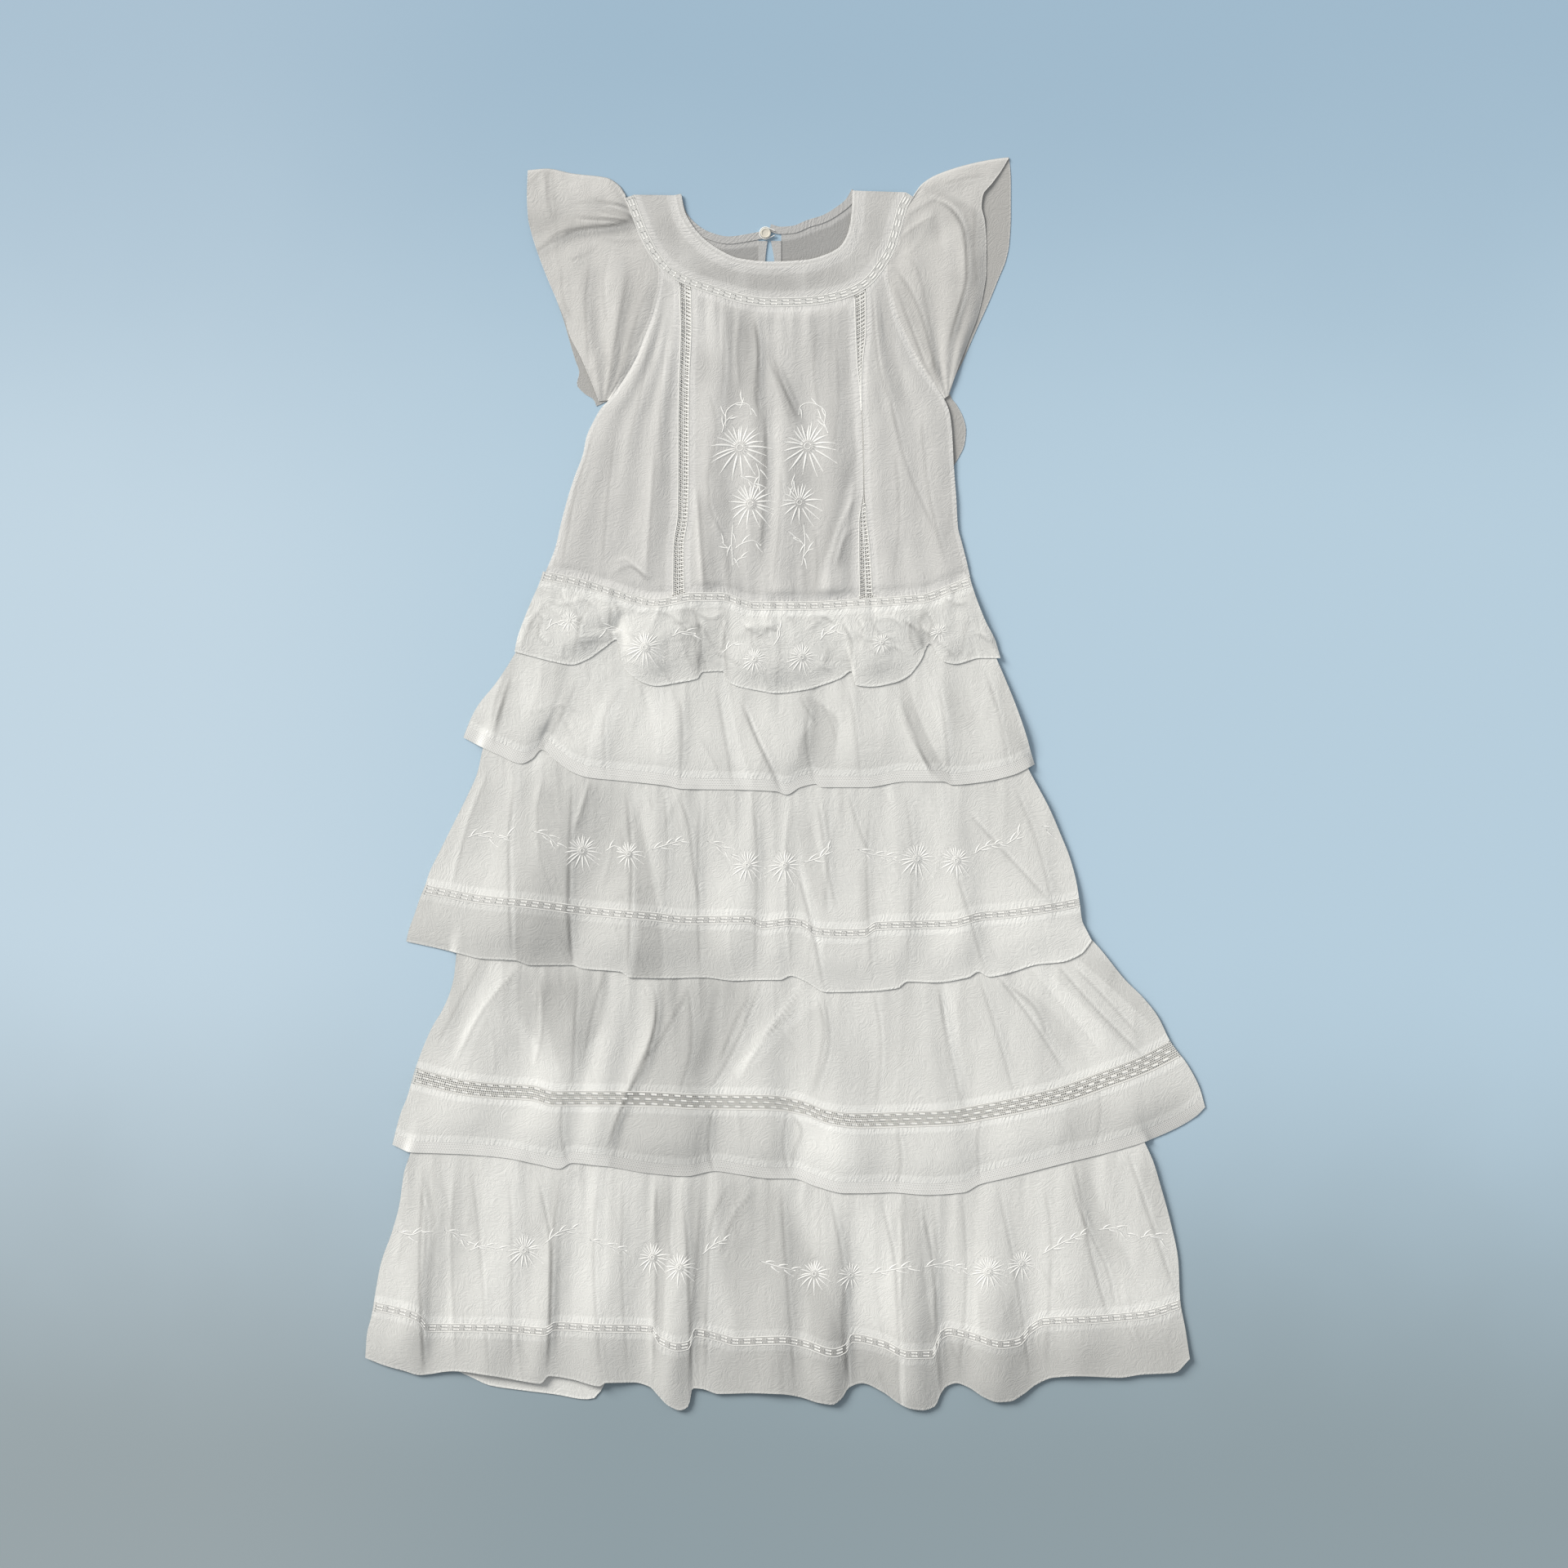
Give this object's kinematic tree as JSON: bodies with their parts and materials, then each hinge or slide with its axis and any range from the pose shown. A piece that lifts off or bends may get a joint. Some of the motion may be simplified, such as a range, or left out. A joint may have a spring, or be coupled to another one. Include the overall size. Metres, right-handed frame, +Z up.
{
  "type": "tiered midi dress",
  "caption": "Tiered cotton midi dress with gathered front, flutter sleeves, insertion lace and a buttoned slit at the back neck, laid flat on its back.",
  "frame": {"origin": "centre of the bounding box on the surface the dress lies on", "axes": "+Z up from the surface, +Y towards the neck, +X towards the right of the lay seen from above"},
  "size_m": [0.8852, 1.3206, 0.0146],
  "materials": {
    "cotton_voile": "matte",
    "sleeve_voile": "matte",
    "cotton_lace": "matte",
    "shell_button": "satin"
  },
  "bodies": {
    "root": {"neck_binding_back_left": "cotton_voile", "yoke_back_left": "cotton_voile", "placket_left": "cotton_voile", "neck_binding_back_right": "cotton_voile", "yoke_back_right": "cotton_voile", "placket_right": "cotton_voile", "back_bodice": "cotton_voile", "tier1_back": "cotton_voile", "tier2_back": "cotton_voile", "tier3_back": "cotton_voile", "tier3_band_back": "cotton_voile", "tier4_back": "cotton_voile", "tier4_band_back": "cotton_voile", "tier5_back": "cotton_voile", "tier5_band_back": "cotton_voile", "tier5_front": "cotton_voile", "tier5_band_front": "cotton_voile", "tier4_front": "cotton_voile", "tier4_band_front": "cotton_voile", "tier3_front": "cotton_voile", "tier3_band_front": "cotton_voile", "tier2_front": "cotton_voile", "tier1_front": "cotton_voile", "neck_binding_front": "cotton_voile", "yoke_front": "cotton_voile", "side_front_left": "cotton_voile", "side_front_right": "cotton_voile", "centre_front": "cotton_voile", "yoke_lace_back": "cotton_lace", "waist_lace_back": "cotton_lace", "tier2_edge_back": "cotton_lace", "tier3_lace_back": "cotton_lace", "tier4_lace_back": "cotton_lace", "tier4_edge_back": "cotton_lace", "tier5_lace_back": "cotton_lace", "tier5_lace_front": "cotton_lace", "tier4_lace_front": "cotton_lace", "tier4_edge_front": "cotton_lace", "tier3_lace_front": "cotton_lace", "tier2_edge_front": "cotton_lace", "waist_lace_front": "cotton_lace", "yoke_lace_front": "cotton_lace", "lace_front_left": "cotton_lace", "lace_front_right": "cotton_lace", "button_loop": "cotton_lace", "sleeve_left": "sleeve_voile", "sleeve_right": "sleeve_voile", "button": "shell_button"}
  },
  "joints": []
}
